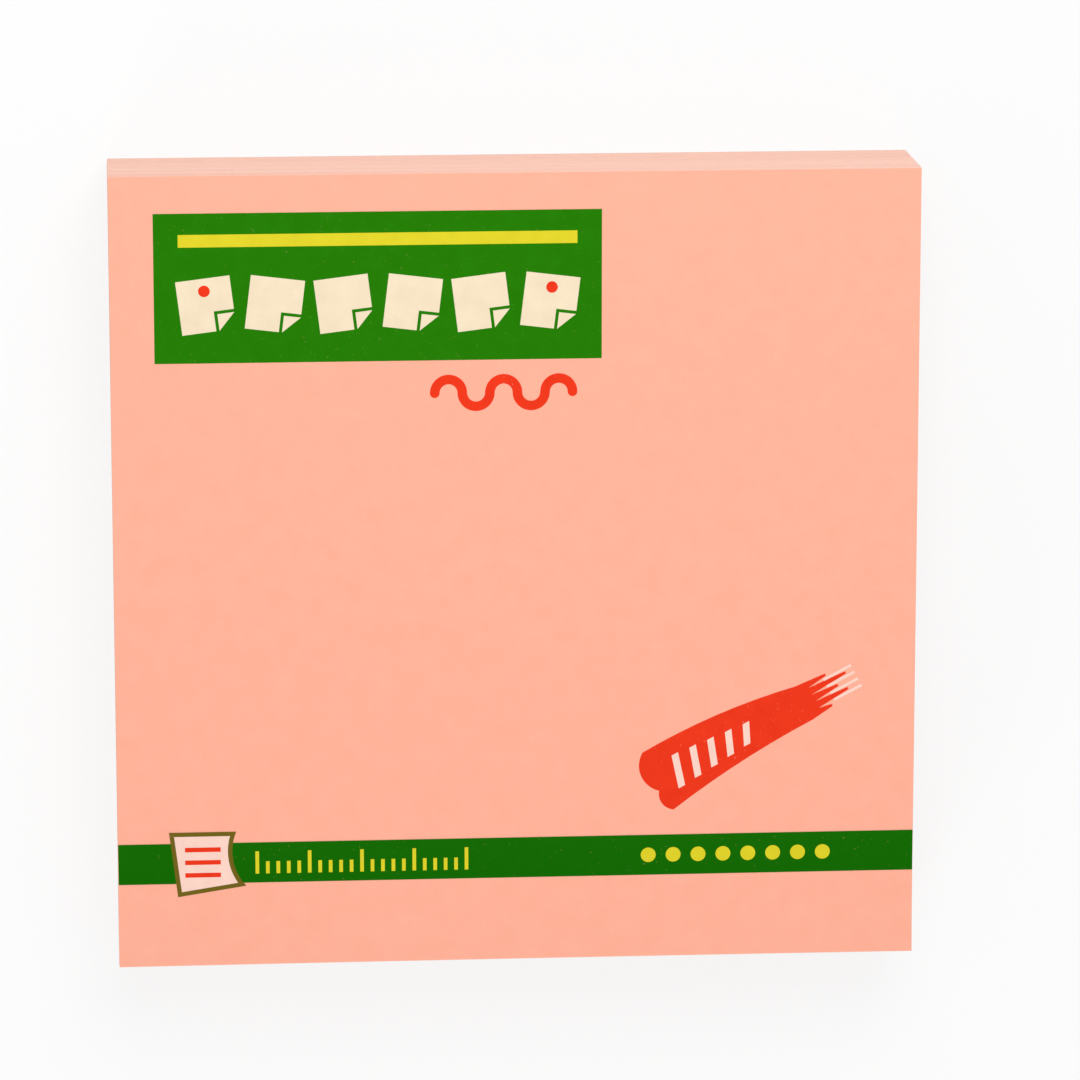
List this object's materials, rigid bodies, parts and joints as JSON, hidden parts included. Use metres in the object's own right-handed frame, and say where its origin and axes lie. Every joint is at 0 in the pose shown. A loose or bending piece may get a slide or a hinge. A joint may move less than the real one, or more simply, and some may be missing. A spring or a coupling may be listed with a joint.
{
  "type": "sticky note pad",
  "caption": "Square pad of salmon pink sticky notes glued along one edge, with a printed cover sheet and a backing sheet, lying flat.",
  "frame": {"origin": "middle of the underside, on the surface that the pad lies on", "axes": "+Z out of the printed cover, +Y towards the glued edge, +X to the right of a reader who has the glued edge at the top"},
  "size_m": [0.0762, 0.0762, 0.0118],
  "materials": {
    "backing_card": "smooth white card",
    "note_paper": "uncoated salmon pink paper, cut edges",
    "cover_paper": "uncoated salmon pink paper",
    "green_ink": "printed ink, slight sheen",
    "yellow_ink": "printed ink, slight sheen",
    "cream_ink": "printed ink, slight sheen",
    "olive_ink": "printed ink, slight sheen",
    "pink_ink": "printed ink, slight sheen",
    "red_ink": "printed ink, slight sheen"
  },
  "bodies": {
    "root": {"backing_sheet": "backing_card", "note_block": "note_paper", "cover_sheet": "cover_paper", "print_green": "green_ink", "print_yellow": "yellow_ink", "print_cream": "cream_ink", "print_olive": "olive_ink", "print_pink": "pink_ink", "print_red": "red_ink"}
  },
  "joints": []
}
